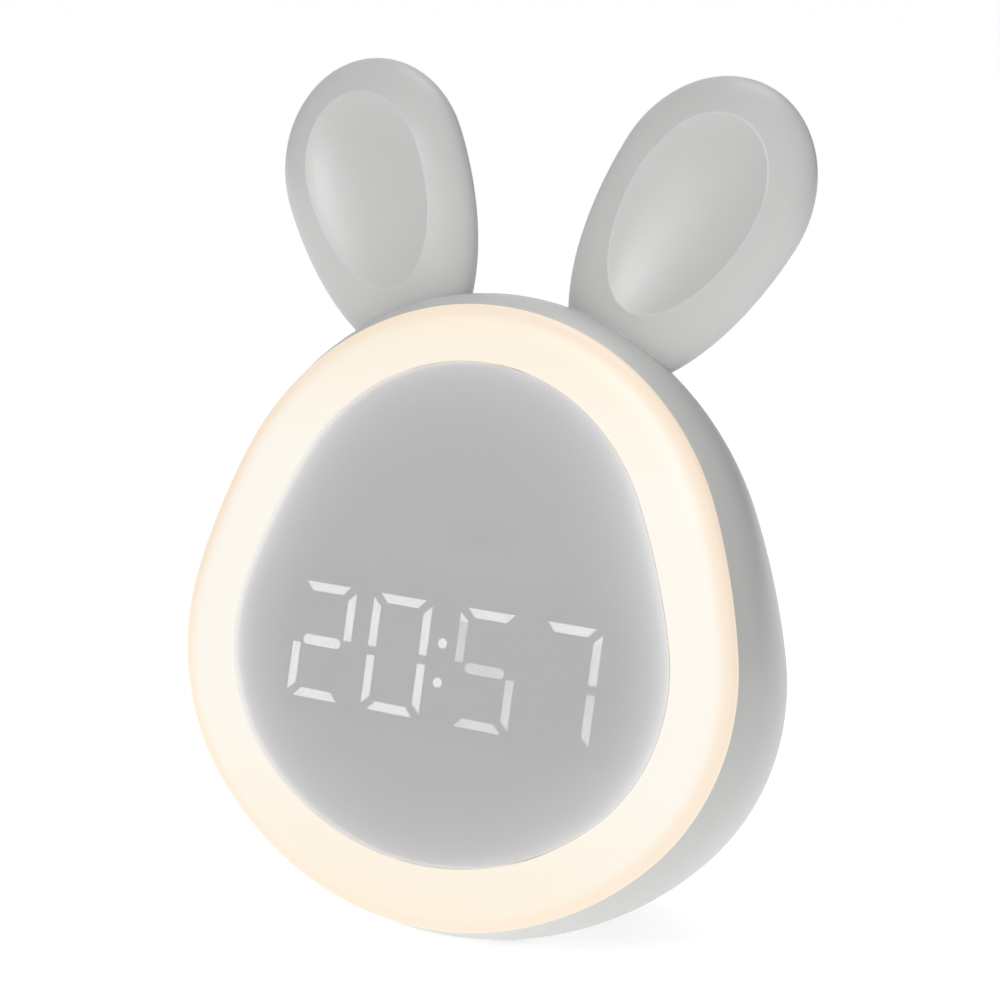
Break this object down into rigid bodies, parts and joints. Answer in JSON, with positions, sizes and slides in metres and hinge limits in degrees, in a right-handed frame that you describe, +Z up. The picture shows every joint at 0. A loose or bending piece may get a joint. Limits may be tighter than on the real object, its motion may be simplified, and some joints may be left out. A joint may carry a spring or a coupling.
{
  "type": "kids alarm clock with night light",
  "caption": "Rounded bunny-eared table alarm clock with a lit ring round a grey window, digits behind it, and buttons, grille and socket on the back.",
  "frame": {"origin": "on the table, under the middle of the clock's bounding box", "axes": "+Z up; -Y is the side that the display faces, leaning back from it; +X is to the right as seen from the front"},
  "size_m": [0.1398, 0.061, 0.1842],
  "materials": {
    "shell": "fine satin, warm sage grey",
    "diffuser": "milky, lit warm white from inside",
    "window": "smoked, satin, lets lit digits through",
    "white_plastic": "moulded white",
    "white_board": "white solder mask",
    "green_board": "green solder mask",
    "diode": "clear cast over yellow phosphor",
    "display_black": "matte grey display face",
    "segment_lit": "diffusing, lit white",
    "segment_dark": "diffusing, unlit",
    "component_black": "moulded black",
    "pouch": "crinkled laminate foil",
    "foam": "closed-cell foam",
    "steel": "plated sheet",
    "cone": "pressed film",
    "button": "fine satin",
    "screw": "black zinc",
    "foot": "soft grey"
  },
  "bodies": {
    "clock": {"front_housing": "shell", "rear_cover": "shell", "left_ear_cap": "shell", "right_ear_cap": "shell", "diffuser_ring": "diffuser", "display_window": "window", "light_frame": "white_plastic", "ring_led_board": "white_board", "ring_leds": "diode", "display_board": "green_board", "display_module": "display_black", "lit_segments": "segment_lit", "dark_segments": "segment_dark", "colon_dots": "segment_lit", "main_board": "green_board", "board_parts": "component_black", "battery_cell": "pouch", "battery_tape": "foam", "speaker_frame": "steel", "speaker_cone": "cone", "speaker_gasket": "foam", "usb_socket": "steel", "power_switch_body": "steel", "down_switch": "component_black", "set_switch": "component_black", "light_switch": "component_black", "alarm_switch": "component_black", "up_switch": "component_black", "case_screw_1": "screw", "case_screw_2": "screw", "case_screw_3": "screw", "case_screw_4": "screw", "frame_screw_1": "screw", "frame_screw_2": "screw", "frame_screw_3": "screw", "frame_screw_4": "screw", "board_screw_1": "screw", "board_screw_2": "screw", "board_screw_3": "screw", "board_screw_4": "screw", "front_foot_left": "foot", "front_foot_right": "foot", "rear_foot_left": "foot", "rear_foot_right": "foot"},
    "down_button": {"down_button": "button"},
    "set_button": {"set_button": "button"},
    "light_button": {"light_button": "button"},
    "alarm_button": {"alarm_button": "button"},
    "up_button": {"up_button": "button"},
    "power_switch_knob": {"power_switch_knob": "component_black"}
  },
  "joints": [
    {"name": "down_press", "type": "slide", "parent": "clock", "child": "down_button", "axis": [0, -1, 0], "range_m": [0, 0.0008], "stiffness_N_per_m": 1500, "springref_m": -0.0003},
    {"name": "set_press", "type": "slide", "parent": "clock", "child": "set_button", "axis": [0, -1, 0], "range_m": [0, 0.0008], "stiffness_N_per_m": 1500, "springref_m": -0.0003},
    {"name": "light_press", "type": "slide", "parent": "clock", "child": "light_button", "axis": [0, -1, 0], "range_m": [0, 0.0008], "stiffness_N_per_m": 1500, "springref_m": -0.0003},
    {"name": "alarm_press", "type": "slide", "parent": "clock", "child": "alarm_button", "axis": [0, -1, 0], "range_m": [0, 0.0008], "stiffness_N_per_m": 1500, "springref_m": -0.0003},
    {"name": "up_press", "type": "slide", "parent": "clock", "child": "up_button", "axis": [0, -1, 0], "range_m": [0, 0.0008], "stiffness_N_per_m": 1500, "springref_m": -0.0003},
    {"name": "power_slide", "type": "slide", "parent": "clock", "child": "power_switch_knob", "axis": [1, 0, 0], "range_m": [0, 0.002]}
  ]
}
